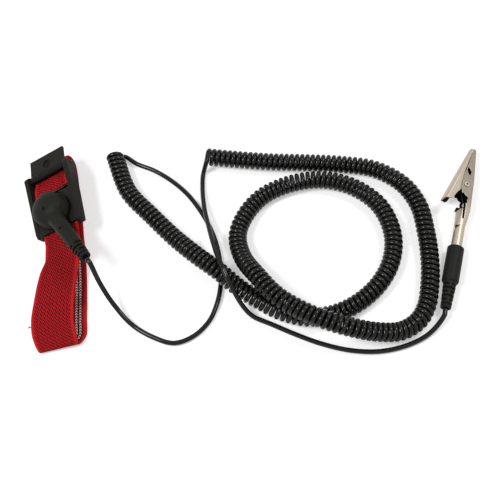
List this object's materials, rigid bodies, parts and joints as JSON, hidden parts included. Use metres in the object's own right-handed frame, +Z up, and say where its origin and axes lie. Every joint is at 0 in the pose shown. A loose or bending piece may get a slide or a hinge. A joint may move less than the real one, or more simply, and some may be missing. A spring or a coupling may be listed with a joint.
{
  "type": "wrist strap",
  "caption": "Elastic grounding wrist strap with clamp buckle, press-stud connector, coiled cord and crocodile clip, laid out on a surface.",
  "frame": {"origin": "bottom centre of the strap's box (band, buckle and lever, without the cord)", "axes": "+Z up, +Y along the flattened band towards the lever, +X towards the coiled cord"},
  "size_m": [0.2296, 0.1106, 0.0253],
  "materials": {
    "webbing": "twill elastic",
    "buckle_plastic": "satin charcoal",
    "connector_plastic": "satin charcoal",
    "boot_plastic": "matte",
    "cord_jacket": "semi-gloss black",
    "nickel_plate": "bright nickel",
    "clip_nickel": "warm nickel",
    "stainless": "satin",
    "spring_brass": "satin",
    "resistor_body": "matte tan"
  },
  "bodies": {
    "strap": {"wristband": "webbing", "buckle_base": "buckle_plastic", "snap_plate": "buckle_plastic", "snap_stud": "nickel_plate", "stud_rivet": "nickel_plate", "contact_plate": "stainless", "lever_pin": "stainless", "strap_lead": "cord_jacket", "curly_cord": "cord_jacket", "clip_lead": "cord_jacket", "plug_boot": "boot_plastic", "banana_pin": "nickel_plate", "banana_springs": "spring_brass", "plug_crimp": "nickel_plate"},
    "lever": {"clamp_lever": "buckle_plastic"},
    "connector": {"connector_shell": "connector_plastic", "snap_socket": "nickel_plate", "socket_spring": "spring_brass", "safety_resistor": "resistor_body", "lead_terminal": "nickel_plate"},
    "clip": {"clip_body": "clip_nickel", "clip_rivet": "clip_nickel", "clip_spring": "stainless"},
    "jaw": {"clip_jaw": "clip_nickel"}
  },
  "joints": [
    {"name": "lever_hinge", "type": "hinge", "parent": "strap", "child": "lever", "pos_m": [-0.00615, 0.03792, 0.01378], "axis": [0.86, 0.2012, 0.469], "range_deg": [0, 186]},
    {"name": "snap_pull", "type": "slide", "parent": "strap", "child": "connector", "axis": [-0.4449, -0.1548, 0.8821], "range_m": [0, 0.006], "deforming": ["strap_lead"]},
    {"name": "clip_pull", "type": "slide", "parent": "strap", "child": "clip", "axis": [0.2622, 0.965, 0], "range_m": [0, 0.017]},
    {"name": "jaw_hinge", "type": "hinge", "parent": "clip", "child": "jaw", "pos_m": [0.20098, 0.03587, 0.00495], "axis": [0.3615, -0.0982, 0.9272], "range_deg": [0, 26], "stiffness_Nm_per_rad": 0.03, "springref_deg": -28.65}
  ]
}
